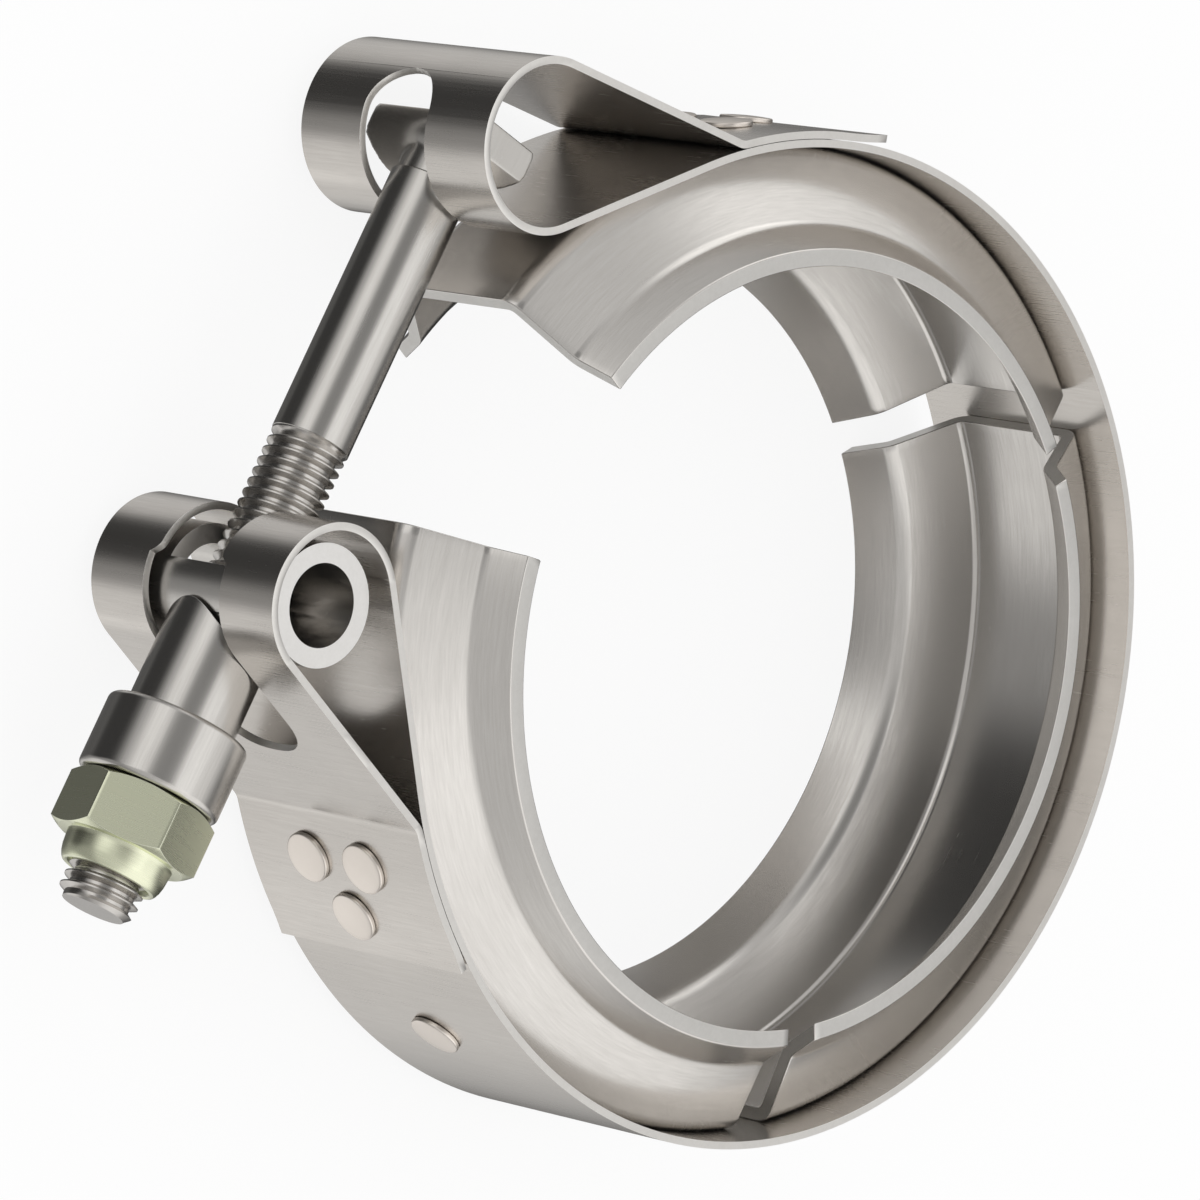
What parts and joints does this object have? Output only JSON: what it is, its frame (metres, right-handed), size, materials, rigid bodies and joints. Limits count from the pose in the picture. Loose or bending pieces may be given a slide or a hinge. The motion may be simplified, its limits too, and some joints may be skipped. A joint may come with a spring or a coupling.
{
  "type": "v band clamp",
  "caption": "Exhaust clamp: a strap with V-section retainers, closed by a T-bolt, tubular trunnion, saddle sleeve and lock nut.",
  "frame": {"origin": "centre of the ring in the middle plane of the V groove", "axes": "+Z along the ring axis, upwards as the clamp lies; +X across the ring, away from the T-head's end of the latch; the latch is on the -Y side"},
  "size_m": [0.0895, 0.1064, 0.0248],
  "materials": {
    "strip_steel": "bright rolled stainless strip",
    "retainer_steel": "brushed stainless sheet",
    "bolt_steel": "turned stainless bar",
    "rivet_steel": "bright warm-toned rivet",
    "nut_plating": "pale yellow-green plating"
  },
  "bodies": {
    "ring": {"band": "strip_steel", "retainer_upper": "retainer_steel", "retainer_side": "retainer_steel", "retainer_lower": "retainer_steel", "rivet_trunnion_tab_1": "rivet_steel", "rivet_trunnion_tab_2": "rivet_steel", "rivet_trunnion_tab_3": "rivet_steel", "rivet_t_bolt_tab_1": "rivet_steel", "rivet_t_bolt_tab_2": "rivet_steel", "rivet_t_bolt_tab_3": "rivet_steel", "rivet_retainer_lower": "rivet_steel"},
    "trunnion": {"trunnion": "bolt_steel"},
    "t_bolt": {"t_bolt": "bolt_steel"},
    "saddle_sleeve": {"saddle_sleeve": "bolt_steel"},
    "lock_nut": {"lock_nut": "nut_plating"}
  },
  "joints": [
    {"name": "trunnion_turn", "type": "hinge", "parent": "ring", "child": "trunnion", "pos_m": [-0.00889, -0.0486, 0], "axis": [0, 0, 1], "range_deg": [-4, 4]},
    {"name": "t_bolt_swing", "type": "hinge", "parent": "ring", "child": "t_bolt", "pos_m": [-0.04164, -0.02685, 0], "axis": [0, 0, 1], "range_deg": [-0.2, 0.2]},
    {"name": "sleeve_slide", "type": "slide", "parent": "t_bolt", "child": "saddle_sleeve", "axis": [0.8331, -0.5532, 0], "range_m": [0, 0.0096]},
    {"name": "nut_spin", "type": "hinge", "parent": "saddle_sleeve", "child": "lock_nut", "pos_m": [0.00777, -0.05966, 0], "axis": [0.8331, -0.5532, 0], "range_deg": [0, 3811]}
  ],
  "couplings": [
    {"joint": "nut_spin", "follows": "sleeve_slide", "rad_per_m": 6927.4}
  ]
}
